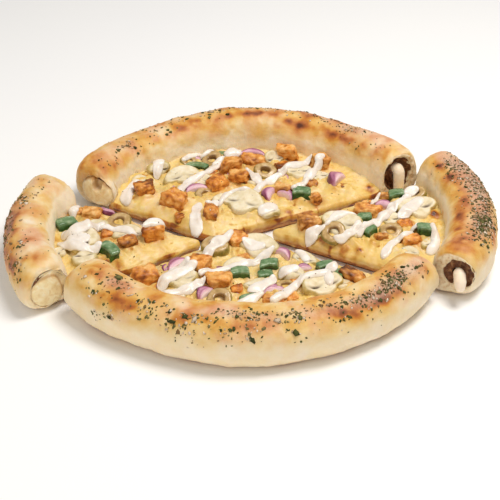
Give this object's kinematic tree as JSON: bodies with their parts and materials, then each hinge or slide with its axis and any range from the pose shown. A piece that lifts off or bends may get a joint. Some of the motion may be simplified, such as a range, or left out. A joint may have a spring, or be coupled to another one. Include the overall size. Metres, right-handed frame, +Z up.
{
  "type": "stuffed crust pizza",
  "caption": "Round pizza with a fat kebab and cheese stuffed rim, cut into slices and pulled apart, topped with chicken, mushroom, olive, pepper, onion and white sauce",
  "frame": {"origin": "On the underside, midway between the outermost crusts", "axes": "+Z up, +X towards the right single slice, +Y towards the back double slice, so -Y faces the viewer"},
  "size_m": [0.3057, 0.2588, 0.0381],
  "materials": {
    "dough": "baked wheat dough, golden on top and cream below, matt",
    "cheese": "melted mozzarella and cheddar with browned blisters, half gloss",
    "kebab": "minced and baked kebab meat, grainy brown",
    "cheese_core": "soft white cheese, smooth",
    "chicken": "roasted and spiced chicken, fibrous, a little oily",
    "mushroom": "cooked white mushroom slice",
    "olive": "green olive ring, oily skin",
    "pepper": "green pepper, waxy skin and paler flesh",
    "onion": "red onion, translucent pink to purple",
    "white_sauce": "thick garlic mayonnaise sauce, glossy",
    "herbs": "dried oregano and parsley flakes"
  },
  "bodies": {
    "root": {"cheese_back": "cheese", "cheese_core_back": "cheese_core", "cheese_core_front": "cheese_core", "cheese_core_left": "cheese_core", "cheese_core_right": "cheese_core", "cheese_front": "cheese", "cheese_left": "cheese", "cheese_right": "cheese", "chicken_back_1": "chicken", "chicken_back_10": "chicken", "chicken_back_11": "chicken", "chicken_back_12": "chicken", "chicken_back_18": "chicken", "chicken_back_7": "chicken", "chicken_back_8": "chicken", "chicken_back_9": "chicken", "chicken_front_1": "chicken", "chicken_front_2": "chicken", "chicken_front_4": "chicken", "chicken_front_7": "chicken", "chicken_front_8": "chicken", "chicken_left_2": "chicken", "chicken_left_5": "chicken", "chicken_left_6": "chicken", "chicken_right_4": "chicken", "chicken_right_5": "chicken", "chicken_right_7": "chicken", "dough_back": "dough", "dough_front": "dough", "dough_left": "dough", "dough_right": "dough", "kebab_back": "kebab", "kebab_front": "kebab", "kebab_left": "kebab", "kebab_right": "kebab", "mushroom_back_15": "mushroom", "mushroom_back_17": "mushroom", "mushroom_back_2": "mushroom", "mushroom_back_3": "mushroom", "mushroom_front_10": "mushroom", "mushroom_front_3": "mushroom", "mushroom_front_9": "mushroom", "mushroom_left_3": "mushroom", "mushroom_right_1": "mushroom", "mushroom_right_3": "mushroom", "olive_back_13": "olive", "olive_back_5": "olive", "olive_front_5": "olive", "olive_right_2": "olive", "onion_back_14": "onion", "onion_back_19": "onion", "onion_back_6": "onion", "pepper_back_16": "pepper", "pepper_back_4": "pepper", "pepper_front_11": "pepper", "pepper_front_6": "pepper", "pepper_left_1": "pepper", "pepper_left_4": "pepper", "pepper_right_6": "pepper", "pepper_right_8": "pepper"}
  },
  "joints": []
}
